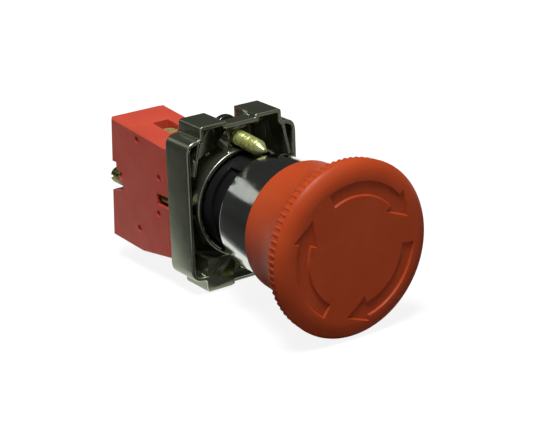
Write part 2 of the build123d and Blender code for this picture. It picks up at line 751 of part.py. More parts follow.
def terminal_screw():
    seat = RECESS_FLOOR + STRIP_T + SADDLE_T
    shank = Pos(-TERMINAL_X, terminal_y, (TERMINAL_SHANK_END + seat) / 2)
    shank *= Cylinder(TERMINAL_R, seat - TERMINAL_SHANK_END)
    top = seat + TERMINAL_HEAD_T
    head = Pos(-TERMINAL_X, terminal_y, (seat + top) / 2)
    head *= Cylinder(TERMINAL_HEAD_R - RUN, TERMINAL_HEAD_T)
    half = SLOT_W / 2
    slot = box(-2 * TERMINAL_X, 0, terminal_y - half, terminal_y + half, top - SLOT_DEPTH, top + PAST)
    return shank + head - slot


def contact_spring():
    return coil(
        CONTACT_COIL_R, CONTACT_WIRE_R, slider_rear + RUN, chamber_rear - RUN, CONTACT_TURNS, x=-FOOT_X,
    )


nodes = {
    "mushroom_cap": mushroom_cap(),
    "cap_pin": cap_pin(),
    "bezel": bezel(),
    "panel_gasket": panel_gasket(),
    "barrel": barrel(),
    "stem_seal": stem_seal(),
    "spindle": spindle(),
    "latch_pins": latch_pins(),
    "twist_spring": twist_spring(),
    "carriage": carriage(),
    "return_spring": return_spring(),
    "spring_bush": spring_bush(),
    "retaining_ring": retaining_ring(),
    "pusher_plate": pusher_plate(),
    "spindle_clip": spindle_clip(),
    "clamp_collar": collar(),
    "clamp_screw_top": clamp_screw(),
    "clamp_screw_bottom": mirrored(clamp_screw()),
    "block_housing": block_housing(),
    "block_cover": block_cover(),
    "fixing_screw": fixing_screw(),
    "block_plunger": block_plunger(),
    "contact_bridge": contact_bridge(),
    "contact_spring": contact_spring(),
    "fixed_contact_upper": fixed_contact(),
    "fixed_contact_lower": mirrored(fixed_contact()),
    "terminal_clamp_upper": terminal_clamp(),
    "terminal_clamp_lower": mirrored(terminal_clamp()),
    "terminal_screw_upper": terminal_screw(),
    "terminal_screw_lower": mirrored(terminal_screw()),
}

os.makedirs("parts", exist_ok=True)
for name, solid in nodes.items():
    export_step(solid, "parts/" + name + ".step")
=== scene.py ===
import json
import math

import bmesh
import bpy
from mathutils import Matrix, Vector


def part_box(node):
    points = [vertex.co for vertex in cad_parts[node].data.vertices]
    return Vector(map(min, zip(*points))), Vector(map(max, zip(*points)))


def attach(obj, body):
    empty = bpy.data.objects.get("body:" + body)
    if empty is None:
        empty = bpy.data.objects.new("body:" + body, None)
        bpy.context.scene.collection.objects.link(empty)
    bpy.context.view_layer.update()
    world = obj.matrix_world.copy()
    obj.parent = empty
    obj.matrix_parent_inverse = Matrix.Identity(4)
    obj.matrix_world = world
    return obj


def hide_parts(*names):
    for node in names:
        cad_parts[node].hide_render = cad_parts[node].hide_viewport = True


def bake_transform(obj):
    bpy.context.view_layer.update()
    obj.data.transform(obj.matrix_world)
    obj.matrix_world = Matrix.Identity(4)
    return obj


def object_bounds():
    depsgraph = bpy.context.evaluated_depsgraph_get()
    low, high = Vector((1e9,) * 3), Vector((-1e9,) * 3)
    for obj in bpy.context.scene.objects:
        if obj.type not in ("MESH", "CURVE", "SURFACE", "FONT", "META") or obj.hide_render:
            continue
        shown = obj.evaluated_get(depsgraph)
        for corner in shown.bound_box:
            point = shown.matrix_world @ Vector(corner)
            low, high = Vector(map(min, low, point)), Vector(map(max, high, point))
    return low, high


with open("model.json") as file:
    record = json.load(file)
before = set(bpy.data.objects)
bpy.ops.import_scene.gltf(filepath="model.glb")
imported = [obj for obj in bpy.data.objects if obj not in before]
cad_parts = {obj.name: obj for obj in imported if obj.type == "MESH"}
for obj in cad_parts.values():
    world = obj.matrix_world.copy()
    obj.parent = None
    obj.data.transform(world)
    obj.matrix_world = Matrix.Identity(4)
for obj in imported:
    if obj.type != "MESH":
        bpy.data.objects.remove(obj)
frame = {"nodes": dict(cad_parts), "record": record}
cad_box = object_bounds()

MM = 0.001

# The photograph's camera: its angles in degrees, its shifts in millimetres and its focal length in pixels
PHOTO_WIDTH = 533
PHOTO_FOCAL = 1915.4
PHOTO_AZIMUTH, PHOTO_ELEVATION, PHOTO_ROLL = -34.225, 20.492, -2.148
PHOTO_SIDE, PHOTO_UP, PHOTO_DISTANCE = -4.876, 5.184, 427.92
PHOTO_CENTRE = (0, 8.74, 0)
SENSOR = 36

# The mushroom head, in millimetres
FACE_Y = -32.3
ARROW_FLOOR_Y = -31.9
ARROW_OUTER_R, ARROW_INNER_R = 15.07, 12.3
HEAD_OUTER_R, TIP_R, HEAD_INNER_R = 16.35, 14.3, 10.9

# The casting behind the panel, in millimetres; what stands in its hollow ends inside the hollow's floor
COLLAR_FRONT, COLLAR_REAR = 8.75, 17.55
PLATE_X, PLATE_Z = 14.6, 16.4
WAIST_Z, LUG_Z = 18.65, 19.4
LUG_IN, LUG_OUT = 3.8, 10.85
WALL = 0.9
HOLLOW_DEPTH = 5.5
FILLING_END = COLLAR_FRONT + 6.2
RING_FRONT, RING_R = 8.25, 12.61
MOUTH_R, BORE_R, SEAT_Y = 11.86, 11.05, 11.75
BOSS_X, BOSS_Z, BOSS_R, BOSS_FRONT = 12.45, 0.3, 2.0, 9.95
GROOVE_X, GROOVE_NEAR, GROOVE_FAR = 3.8, 12.3, 17.75
BAY_X, BAY_NEAR, BAY_FRONT = 4.0, 11.5, 14.75
STEP_NEAR, STEP_FRONT = 17.0, 12.05
PAST_LUGS, PAST_REAR = 24.0, 30.0

# The two leaning clamp screws, in millimetres and degrees
CLAMP_LEAN = 4.0
CLAMP_Z = 14.65
CLAMP_PIVOT_Y = 10.75
CLAMP_SHANK_R, CLAMP_CONE_END, CLAMP_SHANK_END = 1.58, 1.95, 14.8
CLAMP_HEAD_R, CLAMP_HEAD_END = 3.6, 17.2
CLAMP_SLOT_W, CLAMP_SLOT_FLOOR = 0.8, 16.2
CLAMP_WAY_R = 1.8

# How far edges of the copied CAD pieces are rounded, in millimetres
HOUSING_EDGE, SMALL_EDGE, SCREW_EDGE = 0.15, 0.08, 0.1


def photo_camera():
    """The camera that was fitted to the photograph's circles."""
    azimuth, elevation, roll = (math.radians(a) for a in (PHOTO_AZIMUTH, PHOTO_ELEVATION, PHOTO_ROLL))
    right = Vector((math.cos(azimuth), math.sin(azimuth), 0))
    back = Vector((
        math.sin(azimuth) * math.cos(elevation),
        -math.cos(azimuth) * math.cos(elevation),
        math.sin(elevation),
    ))
    up = back.cross(right)
    right_turned = math.cos(roll) * right + math.sin(roll) * up
    up_turned = -math.sin(roll) * right + math.cos(roll) * up
    place = PHOTO_DISTANCE * back - PHOTO_SIDE * right_turned - PHOTO_UP * up_turned + Vector(PHOTO_CENTRE)
    data = bpy.data.cameras.new("photo_camera")
    data.sensor_width = SENSOR
    data.lens = PHOTO_FOCAL * SENSOR / PHOTO_WIDTH
    data.clip_start, data.clip_end = 0.01, 20
    camera = bpy.data.objects.new("photo_camera", data)
    bpy.context.scene.collection.objects.link(camera)
    turn = Matrix((right_turned, up_turned, back)).transposed().to_4x4()
    camera.matrix_world = Matrix.Translation(place * MM) @ turn
    bpy.context.scene.camera = camera


def new_material(name):
    """A new material with its nodes, its links and its shader."""
    material = bpy.data.materials.new(name)
    material.use_nodes = True
    nodes = material.node_tree.nodes
    shader = nodes["Principled BSDF"]
    return material, nodes, material.node_tree.links, shader


def add_node(nodes, kind, **inputs):
    """A new node with these inputs set."""
    node = nodes.new(kind)
    for key, value in inputs.items():
        node.inputs[key.replace("_", " ")].default_value = value
    return node


def multiplied(nodes, links, one, other):
    """The product of two sockets."""
    times = nodes.new("ShaderNodeMath")
    times.operation = "MULTIPLY"
    links.new(one, times.inputs[0])
    links.new(other, times.inputs[1])
    return times.outputs["Value"]


def larger(nodes, links, one, other):
    """The larger of two sockets."""
    pick = nodes.new("ShaderNodeMath")
    pick.operation = "MAXIMUM"
    links.new(one, pick.inputs[0])
    links.new(other, pick.inputs[1])
    return pick.outputs["Value"]


def grey(value):
    """A colour without hue."""
    return (value, value, value, 1)


def grain(nodes, links, shader, scale, strength, distance):
    """Fine surface relief from noise that follows the piece, sizes in millimetres."""
    coords = nodes.new("ShaderNodeTexCoord")
    mapping = nodes.new("ShaderNodeMapping")
    links.new(coords.outputs["Object"], mapping.inputs["Vector"])
    noise = add_node(nodes, "ShaderNodeTexNoise", Scale=1000 / scale, Detail=3.0, Roughness=0.55)
    links.new(mapping.outputs["Vector"], noise.inputs["Vector"])
    bump = add_node(nodes, "ShaderNodeBump", Strength=strength, Distance=distance * MM)
    links.new(noise.outputs["Fac"], bump.inputs["Height"])
    links.new(bump.outputs["Normal"], shader.inputs["Normal"])
    return mapping


def mottle(nodes, links, shader, mapping, scale, dark, light, socket="Base Color"):
    """Slow variation of a colour or roughness over the surface."""
    noise = add_node(nodes, "ShaderNodeTexNoise", Scale=1000 / scale, Detail=4.0, Roughness=0.6)
    links.new(mapping.outputs["Vector"], noise.inputs["Vector"])
    ramp = nodes.new("ShaderNodeValToRGB")
    ends = ramp.color_ramp.elements
    ends[0].position, ends[0].color = 0.35, dark
    ends[1].position, ends[1].color = 0.65, light
    links.new(noise.outputs["Fac"], ramp.inputs["Fac"])
    links.new(ramp.outputs["Color"], shader.inputs[socket])


def moulded_plastic(name, dark, light, rough, grain_mm=0.25, relief=0.01, shine=0.5):
    """Plastic with a fine spark-eroded grain."""
    material, nodes, links, shader = new_material(name)
    mapping = grain(nodes, links, shader, grain_mm, 0.5, relief)
    mottle(nodes, links, shader, mapping, 9.0, dark, light)
    mottle(nodes, links, shader, mapping, 4.0, grey(rough - 0.05), grey(rough + 0.06), "Roughness")
    shader.inputs["IOR"].default_value = 1.5
    shader.inputs["Specular IOR Level"].default_value = shine
    return material


def plated_metal(name, dark, light, rough, wear_mm, relief, metallic=1.0):
    """Plated, ground or drawn metal with slow patches of wear."""
    material, nodes, links, shader = new_material(name)
    mapping = grain(nodes, links, shader, 0.3, 0.5, relief)
    mottle(nodes, links, shader, mapping, wear_mm, dark, light)
    mottle(nodes, links, shader, mapping, 1.5, grey(rough - 0.015), grey(rough + 0.035), "Roughness")
    shader.inputs["Metallic"].default_value = metallic
    return material


def cast_metal(name, dark, light, rough, metallic, coat):
    """A passivated casting: metal under a thin dull film, with slow changes of colour."""
    material, nodes, links, shader = new_material(name)
    mapping = grain(nodes, links, shader, 1.5, 0.15, 0.002)
    mottle(nodes, links, shader, mapping, 7.0, dark, light)
    mottle(nodes, links, shader, mapping, 2.5, grey(rough - 0.015), grey(rough + 0.035), "Roughness")
    shader.inputs["Metallic"].default_value = metallic
    shader.inputs["Coat Weight"].default_value = coat
    shader.inputs["Coat Roughness"].default_value = 0.16
    return material


head_red = moulded_plastic(
    "head_red", (0.555, 0.070, 0.0155, 1), (0.60, 0.082, 0.019, 1), 0.44,
    grain_mm=0.2, relief=0.003, shine=0.2,
)
block_red = moulded_plastic(
    "block_red", (0.67, 0.083, 0.047, 1), (0.75, 0.099, 0.057, 1), 0.45,
    grain_mm=0.3, relief=0.004, shine=0.25,
)
barrel_black = moulded_plastic("barrel_black", (0.010, 0.010, 0.011, 1), (0.016, 0.016, 0.017, 1), 0.36)
inner_grey = moulded_plastic("inner_grey", (0.08, 0.085, 0.085, 1), (0.12, 0.12, 0.12, 1), 0.5)
seal_rubber = moulded_plastic(
    "seal_rubber", (0.012, 0.012, 0.012, 1), (0.02, 0.02, 0.02, 1), 0.7, grain_mm=0.4, relief=0.02,
)
bezel_chrome = plated_metal("bezel_chrome", (0.60, 0.635, 0.58, 1), (0.67, 0.705, 0.65, 1), 0.11, 5.0, 0.0012)
olive_casting = cast_metal("olive_casting", (0.215, 0.238, 0.158, 1), (0.25, 0.275, 0.185, 1), 0.2, 0.84, 0.1)
# A lighter coat for the collar's rolled front edges: a painted highlight along the rim
painted_edge_highlight = plated_metal(
    "painted_edge_highlight", (0.50, 0.52, 0.42, 1), (0.62, 0.64, 0.52, 1), 0.32, 2.0, 0.001, metallic=0.85,
)
screw_head_steel = plated_metal(
    "screw_head_steel", (0.26, 0.27, 0.20, 1), (0.38, 0.39, 0.30, 1), 0.25, 1.5, 0.001,
)
yellow_zinc = plated_metal(
    "yellow_zinc", (0.68, 0.74, 0.22, 1), (0.90, 0.94, 0.48, 1), 0.32, 1.2, 0.001, metallic=0.65,
)
dark_zinc = plated_metal("dark_zinc", (0.09, 0.11, 0.03, 1), (0.30, 0.32, 0.08, 1), 0.34, 1.6, 0.001)
spring_wire = plated_metal("spring_wire", (0.45, 0.45, 0.44, 1), (0.58, 0.58, 0.57, 1), 0.3, 1.0, 0.002)
ground_steel = plated_metal("ground_steel", (0.50, 0.50, 0.50, 1), (0.62, 0.62, 0.61, 1), 0.25, 2.0, 0.002)
terminal_brass = plated_metal("terminal_brass", (0.42, 0.27, 0.08, 1), (0.62, 0.42, 0.15, 1), 0.3, 1.5, 0.003)

MATERIALS = {
    "head_red": head_red,
    "block_red": block_red,
    "chrome": bezel_chrome,
    "black_plastic": barrel_black,
    "grey_plastic": inner_grey,
    "rubber": seal_rubber,
    "olive_cast": olive_casting,
    "zinc_plated": yellow_zinc,
    "spring_steel": spring_wire,
    "steel": ground_steel,
    "brass": terminal_brass,
}
slot_of = {row["node"]: row["material_slot"] for row in frame["record"]["subparts"]}
body_of = {node: body for body, nodes in frame["record"]["behaviour"]["bodies"].items() for node in nodes}


def finished(mesh, name, body, slot, replaced=(), sharp=32, coats=None):
    """Makes a mesh a piece of the object, in its slot's material or in its own coats.

    Edges of more than sharp degrees stay crisp. The piece is shown in place of the replaced CAD nodes.
    """
    layout = [face.material_index for face in mesh.polygons]
    mesh.materials.clear()
    for coat in coats or [MATERIALS[slot]]:
        mesh.materials.append(coat)
    if coats and len(coats) > 1:
        mesh.polygons.foreach_set("material_index", layout)
    mesh.shade_smooth()
    mesh.set_sharp_from_angle(angle=math.radians(sharp))
    piece = bpy.data.objects.new(name, mesh)
    bpy.context.scene.collection.objects.link(piece)
    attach(piece, body)
    if replaced:
        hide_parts(*replaced)


def plain_mesh(obj):
    """The object's mesh with its modifiers worked out; the object is removed."""
    depsgraph = bpy.context.evaluated_depsgraph_get()
    mesh = bpy.data.meshes.new_from_object(obj.evaluated_get(depsgraph))
    bpy.data.objects.remove(obj)
    return mesh


def loose(mesh, name="work"):
    """An object for the mesh that isn't a piece yet."""
    obj = bpy.data.objects.new(name, mesh)
    bpy.context.scene.collection.objects.link(obj)
    return obj


def rounded(corners, steps=4, share=0.45):
    """A closed outline with each corner (a, b, radius) rounded, within that share of its sides."""
    points = []
    count = len(corners)
    for i, corner in enumerate(corners):
        here = Vector(corner[:2])
        before = Vector(corners[i - 1][:2]) - here
        after = Vector(corners[(i + 1) % count][:2]) - here
        reach = min(corner[2], share * before.length, share * after.length)
        if reach < 1e-4:
            points.append(here)
            continue
        start = here + before.normalized() * reach
        end = here + after.normalized() * reach
        for k in range(steps + 1):
            t = k / steps
            points.append((1 - t) ** 2 * start + 2 * t * (1 - t) * here + t * t * end)
    return points


def turned(points, segments=256):
    """A mesh turned about the push axis from a closed outline of (radius, y) in millimetres."""
    work = bmesh.new()
    rings = []
    for r, y in points:
        if r < 1e-6:
            rings.append([work.verts.new((0, y * MM, 0))])
            continue
        ring = []
        for k in range(segments):
            angle = 2 * math.pi * k / segments
            ring.append(work.verts.new((r * math.cos(angle) * MM, y * MM, r * math.sin(angle) * MM)))
        rings.append(ring)
    for ring, following in zip(rings, rings[1:] + rings[:1]):
        if len(ring) == 1 and len(following) == 1:
            continue
        for k in range(segments):
            after = (k + 1) % segments
            face = list(dict.fromkeys((
                ring[k % len(ring)], ring[after % len(ring)],
                following[after % len(following)], following[k % len(following)],
            )))
            if len(face) > 2:
                work.faces.new(face)
    bmesh.ops.recalc_face_normals(work, faces=work.faces)
    mesh = bpy.data.meshes.new("turned")
    work.to_mesh(mesh)
    work.free()
    return mesh


def prism(outline, levels):
    """A closed prism along Y from an outline of (x, z), grown by its own amount at each level (y, growth)."""
    work = bmesh.new()
    count = len(outline)
    rows = []
    for y, grow in levels:
        row = []
        for i, p in enumerate(outline):
            here = Vector(p)
            before = (here - Vector(outline[i - 1])).normalized()
            after = (Vector(outline[(i + 1) % count]) - here).normalized()
            outward = Vector((before.y + after.y, -before.x - after.x)).normalized()
            sharpness = max(0.45, Vector((before.y, -before.x)).dot(outward))
            place = here + outward * grow / sharpness
            row.append(work.verts.new((place.x * MM, y * MM, place.y * MM)))
        rows.append(row)
    for row, following in zip(rows, rows[1:]):
        for i in range(count):
            j = (i + 1) % count
            work.faces.new((row[i], row[j], following[j], following[i]))
    work.faces.new(rows[0][::-1])
    work.faces.new(rows[-1])
    bmesh.ops.recalc_face_normals(work, faces=work.faces)
    mesh = bpy.data.meshes.new("prism")
    work.to_mesh(mesh)
    work.free()
    return mesh


def box_outline(x0, z0, x1, z1):
    """A box from its lower left to its upper right corner, run anticlockwise."""
    return [Vector((x0, z0)), Vector((x1, z0)), Vector((x1, z1)), Vector((x0, z1))]


def band(half_width, near, far, side):
    """A box outline across the middle, from near to far above it (side 1) or below it (side -1)."""
    low, high = sorted((near * side, far * side))
    return box_outline(-half_width, low, half_width, high)


def on_side(points, side):
    """An outline of the right half, or its mirror image on the left half, still run anticlockwise."""
    points = [Vector((x * side, z)) for x, z in points]
    return points if side > 0 else points[::-1]


def cut(mesh, cutters, operation="DIFFERENCE", solver="EXACT"):
    """The mesh with the cutters taken away, or joined to it."""
    target = loose(mesh)
    tools = []
    for cutter in cutters:
        tool = loose(cutter, "cutter")
        tools.append(tool)
        away = target.modifiers.new("cut", "BOOLEAN")
        away.operation = operation
        away.solver = solver
        away.object = tool
    result = plain_mesh(target)
    for tool in tools:
        bpy.data.objects.remove(tool)
    return result


def even_shading(obj):
    """Keeps large faces flat to the eye beside their rounded edges."""
    even = obj.modifiers.new("even", "WEIGHTED_NORMAL")
    even.keep_sharp = True
    even.weight = 80


def dressed(node, bevel):
    """A copy of a CAD node with its flat faces joined and its edges slightly rounded."""
    work = bmesh.new()
    work.from_mesh(frame["nodes"][node].data)
    bmesh.ops.remove_doubles(work, verts=work.verts, dist=1e-6)
    bmesh.ops.dissolve_limit(
        work, angle_limit=math.radians(0.8), verts=work.verts, edges=work.edges, delimit=set(),
    )
    mesh = bpy.data.meshes.new(node)
    work.to_mesh(mesh)
    work.free()
    mesh.shade_smooth()
    obj = loose(mesh)
    rounding = obj.modifiers.new("edges", "BEVEL")
    rounding.width = bevel * MM
    rounding.segments = 2
    rounding.limit_method = "ANGLE"
    rounding.angle_limit = math.radians(35)
    rounding.use_clamp_overlap = True
    rounding.miter_outer = "MITER_ARC"
    even_shading(obj)
    return plain_mesh(obj)


def new_tree(name, inputs):
    """A Geometry Nodes tree with named inputs, each given by its name, kind and value."""
    tree = bpy.data.node_groups.new(name, "GeometryNodeTree")
    for label, kind, value in inputs:
        socket = tree.interface.new_socket(name=label, in_out="INPUT", socket_type="NodeSocket" + kind)
        if value is not None:
            socket.default_value = value
    tree.interface.new_socket(name="Geometry", in_out="OUTPUT", socket_type="NodeSocketGeometry")
    return tree, tree.nodes, tree.links, tree.nodes.new("NodeGroupInput")


def end_tree(tree, given, geometry):
    """Makes the instances real, puts the finish on and ends the tree."""
    nodes, links = tree.nodes, tree.links
    real = nodes.new("GeometryNodeRealizeInstances")
    links.new(geometry, real.inputs["Geometry"])
    coat = nodes.new("GeometryNodeSetMaterial")
    links.new(real.outputs["Geometry"], coat.inputs["Geometry"])
    links.new(given.outputs["Finish"], coat.inputs["Material"])
    links.new(coat.outputs["Geometry"], nodes.new("NodeGroupOutput").inputs["Geometry"])
    return tree


def wound_wire(nodes, links, turns, radius, length, thickness, start, steps, sides):
    """A wire wound along Y; steps counts the points of a turn and sides those of the wire's section."""
    winding = nodes.new("GeometryNodeCurveSpiral")
    winding.inputs["Resolution"].default_value = steps
    links.new(turns, winding.inputs["Rotations"])
    links.new(radius, winding.inputs["Start Radius"])
    links.new(radius, winding.inputs["End Radius"])
    links.new(length, winding.inputs["Height"])
    section = nodes.new("GeometryNodeCurvePrimitiveCircle")
    section.inputs["Resolution"].default_value = sides
    links.new(thickness, section.inputs["Radius"])
    swept = nodes.new("GeometryNodeCurveToMesh")
    swept.inputs["Fill Caps"].default_value = True
    links.new(winding.outputs["Curve"], swept.inputs["Curve"])
    links.new(section.outputs["Curve"], swept.inputs["Profile Curve"])
    laid = nodes.new("GeometryNodeTransform")
    laid.inputs["Rotation"].default_value = (math.radians(-90), 0, 0)
    links.new(swept.outputs["Mesh"], laid.inputs["Geometry"])
    links.new(start, laid.inputs["Translation"])
    return laid.outputs["Geometry"]


def from_tree(tree, seed=None, **inputs):
    """The plain mesh that a Geometry Nodes tree makes with these inputs."""
    obj = loose(seed or bpy.data.meshes.new("seed"))
    maker = obj.modifiers.new("make", "NODES")
    maker.node_group = tree
    for item in tree.interface.items_tree:
        if item.in_out == "INPUT" and item.name in inputs:
            maker[item.identifier] = inputs[item.name]
    return plain_mesh(obj)


def smooth_path(points, steps=4):
    """Points of a smooth open line through the given ones."""
    line = []
    count = len(points)
    for i in range(count - 1):
        p0 = Vector(points[max(i - 1, 0)])
        p1, p2 = Vector(points[i]), Vector(points[i + 1])
        p3 = Vector(points[min(i + 2, count - 1)])
        for k in range(steps):
            t = k / steps
            line.append(0.5 * (2 * p1 + (p2 - p0) * t + (2 * p0 - 5 * p1 + 4 * p2 - p3) * t * t
                               + (3 * p1 - p0 - 3 * p2 + p3) * t ** 3))
    line.append(Vector(points[-1]))
    return [tuple(p) for p in line]


def cap_outline():
    """The cap's section as (radius, y): flared skirt, neck behind the ribs, rolled rim, face and inside."""
    flare = [
        (14.8, -13.0), (14.95, -15.1), (15.2, -17.3), (15.5, -19.3), (15.89, -21.3), (16.4, -23.1),
        (17.05, -24.8), (17.85, -26.3), (18.7, -27.5), (19.2, -28.15),
    ]
    rim = [
        (19.25, -28.4), (19.25, -29.9), (19.5, -30.15), (19.45, -30.45), (19.1, -30.95), (18.6, -31.42),
        (17.95, -31.82), (17.3, -32.07), (16.6, -32.22), (16.0, -32.29), (15.5, FACE_Y),
    ]
    face = [(9.0, FACE_Y), (4.0, FACE_Y), (0, FACE_Y)]
    inside = [
        (0, -29.3), (8.5, -29.3), (8.5, -20.3), (8.2, -20.3), (8.2, -29.0), (13.7, -29.0), (13.7, -13.3),
        (13.9, -13.0),
    ]
    return smooth_path(flare) + smooth_path(rim) + face + inside


def polar(radius, angle):
    """The point at this radius and at this angle in degrees."""
    turn = math.radians(angle)
    return (radius * math.cos(turn), radius * math.sin(turn))


def arrow_outline(turn, steps=28):
    """One release arrow as seen from the front, clockwise from its tail."""
    tail, base, tip = 114.5 + turn, 40 + turn, 20.5 + turn
    outer = [polar(ARROW_OUTER_R, tail + (base - tail) * k / steps) for k in range(steps + 1)]
    inner = [polar(ARROW_INNER_R, base + (tail - base) * k / steps) for k in range(steps + 1)]
    return outer + [polar(HEAD_OUTER_R, base), polar(TIP_R, tip), polar(HEAD_INNER_R, base)] + inner


def mushroom_cap():
    """The cap with its three sunk arrows, whose walls lean and meet the face in a soft edge."""
    walls = [
        (FACE_Y - 1.2, 0.25), (FACE_Y, 0.25), (FACE_Y + 0.1, 0.17), (ARROW_FLOOR_Y, 0.0),
        (ARROW_FLOOR_Y + 0.05, -0.06),
    ]
    arrows = [prism(arrow_outline(turn)[::-1], walls) for turn in (0, 120, 240)]
    mesh = cut(turned(cap_outline(), 360), arrows)
    finished(mesh, "mushroom_cap_skin", "head", "head_red", ["mushroom_cap"], 24)


def rim_rib_tree():
    """Geometry Nodes: a ring of short round-ended ribs, as on a grip edge."""
    tree, nodes, links, given = new_tree("rim ribs", (
        ("Count", "Int", 82), ("Ring radius", "Float", 18.83 * MM), ("Rib length", "Float", 3.3 * MM),
        ("Rib width", "Float", 1.15 * MM), ("Rib height", "Float", 1.25 * MM),
        ("Lean", "Float", math.radians(4)), ("Place", "Float", -29.0 * MM), ("Finish", "Material", None),
    ))
    ring = nodes.new("GeometryNodeMeshCircle")
    links.new(given.outputs["Count"], ring.inputs["Vertices"])
    links.new(given.outputs["Ring radius"], ring.inputs["Radius"])
    brick = nodes.new("GeometryNodeMeshCube")
    brick.inputs["Size"].default_value = (1, 1, 1)
    brick.inputs["Vertices Z"].default_value = 4
    ball = nodes.new("GeometryNodeSubdivisionSurface")
    ball.inputs["Level"].default_value = 2
    links.new(brick.outputs["Mesh"], ball.inputs["Mesh"])
    size = nodes.new("ShaderNodeCombineXYZ")
    links.new(given.outputs["Rib height"], size.inputs["X"])
    links.new(given.outputs["Rib width"], size.inputs["Y"])
    links.new(given.outputs["Rib length"], size.inputs["Z"])
    shaped = nodes.new("GeometryNodeTransform")
    links.new(ball.outputs["Mesh"], shaped.inputs["Geometry"])
    links.new(size.outputs["Vector"], shaped.inputs["Scale"])
    lean = nodes.new("ShaderNodeCombineXYZ")
    links.new(given.outputs["Lean"], lean.inputs["Y"])
    leaned = nodes.new("GeometryNodeTransform")
    links.new(shaped.outputs["Geometry"], leaned.inputs["Geometry"])
    links.new(lean.outputs["Vector"], leaned.inputs["Rotation"])
    index = nodes.new("GeometryNodeInputIndex")
    step = nodes.new("ShaderNodeMath")
    step.operation = "DIVIDE"
    step.inputs[0].default_value = 2 * math.pi
    links.new(given.outputs["Count"], step.inputs[1])
    turn = nodes.new("ShaderNodeCombineXYZ")
    links.new(multiplied(nodes, links, index.outputs["Index"], step.outputs["Value"]), turn.inputs["Z"])
    placed = nodes.new("GeometryNodeInstanceOnPoints")
    links.new(ring.outputs["Mesh"], placed.inputs["Points"])
    links.new(leaned.outputs["Geometry"], placed.inputs["Instance"])
    links.new(turn.outputs["Vector"], placed.inputs["Rotation"])
    stood = nodes.new("GeometryNodeTransform")
    stood.inputs["Rotation"].default_value = (math.radians(90), 0, 0)
    where = nodes.new("ShaderNodeCombineXYZ")
    links.new(given.outputs["Place"], where.inputs["Y"])
    links.new(where.outputs["Vector"], stood.inputs["Translation"])
    links.new(placed.outputs["Instances"], stood.inputs["Geometry"])
    return end_tree(tree, given, stood.outputs["Geometry"])


def rim_ribs():
    """The fine ribs round the cap's rim."""
    mesh = from_tree(rim_rib_tree(), Finish=head_red)
    finished(mesh, "rim_ribs", "head", "head_red", sharp=60)


def bezel():
    """The chromed sleeve with its rolled front lip."""
    outline = rounded([
        (9.55, -15.5, 0.3), (13.4, -15.5, 0.8), (13.4, -1.0, 0.35), (12.25, -1.0, 0.1), (12.25, -3.5, 0),
        (11.6, -3.5, 0), (11.6, -14.9, 0), (9.55, -14.9, 0.1),
    ], 6)
    finished(turned(outline, 320), "bezel_shell", "base", "chrome", ["bezel"])


def thread_tree():
    """Geometry Nodes: a thread wound round the shank of the mesh that it is given."""
    tree, nodes, links, given = new_tree("screw thread", (
        ("Shank", "Geometry", None), ("Thread radius", "Float", CLAMP_SHANK_R * MM), ("Turns", "Float", 17.0),
        ("Pitch", "Float", 0.7 * MM), ("Ridge", "Float", 0.21 * MM), ("Start", "Float", 2.3 * MM),
        ("Finish", "Material", None),
    ))
    length = multiplied(nodes, links, given.outputs["Turns"], given.outputs["Pitch"])
    where = nodes.new("ShaderNodeCombineXYZ")
    links.new(given.outputs["Start"], where.inputs["Y"])
    ridge = wound_wire(
        nodes, links, given.outputs["Turns"], given.outputs["Thread radius"], length, given.outputs["Ridge"],
        where.outputs["Vector"], 28, 4,
    )
    both = nodes.new("GeometryNodeJoinGeometry")
    links.new(ridge, both.inputs["Geometry"])
    links.new(given.outputs["Shank"], both.inputs["Geometry"])
    return end_tree(tree, given, both.outputs["Geometry"])


def clamp_screws(thread):
    """The two cone-pointed screws that press on the panel's back, leaning as they do in the collar."""
    end = CLAMP_SHANK_END
    outline = rounded([
        (0, -0.05, 0), (0.45, -0.05, 0.1), (CLAMP_SHANK_R, CLAMP_CONE_END, 0.15), (CLAMP_SHANK_R, end, 0),
        (0, end, 0),
    ])
    shank = from_tree(thread, turned(outline, 64), Finish=yellow_zinc)
    dome = rounded([
        (0, end, 0), (CLAMP_HEAD_R, end, 0.2), (CLAMP_HEAD_R, 16.6, 0.9), (2.2, CLAMP_HEAD_END, 1.2),
        (0, CLAMP_HEAD_END, 0),
    ], 5)
    slot_x, slot_z = CLAMP_HEAD_R + 0.4, CLAMP_SLOT_W / 2
    slot = prism(
        box_outline(-slot_x, -slot_z, slot_x, slot_z), [(CLAMP_SLOT_FLOOR, 0), (CLAMP_HEAD_END + 0.8, 0)],
    )
    head = cut(turned(dome, 64), [slot])
    place = Matrix.Translation((0, CLAMP_PIVOT_Y * MM, CLAMP_Z * MM))
    lean = Matrix.Rotation(math.radians(CLAMP_LEAN), 4, "X")
    back = Matrix.Translation((0, -CLAMP_PIVOT_Y * MM, 0))
    half_turn = Matrix.Rotation(math.pi, 4, "Y")
    for mesh, name, coat in ((shank, "thread", yellow_zinc), (head, "head", screw_head_steel)):
        mesh.transform(place @ lean @ back)
        lower = mesh.copy()
        lower.transform(half_turn)
        for piece, side in ((mesh, "top"), (lower, "bottom")):
            node = "clamp_screw_" + side
            finished(piece, f"{node}_{name}", node, "zinc_plated", [node], 40, [coat])


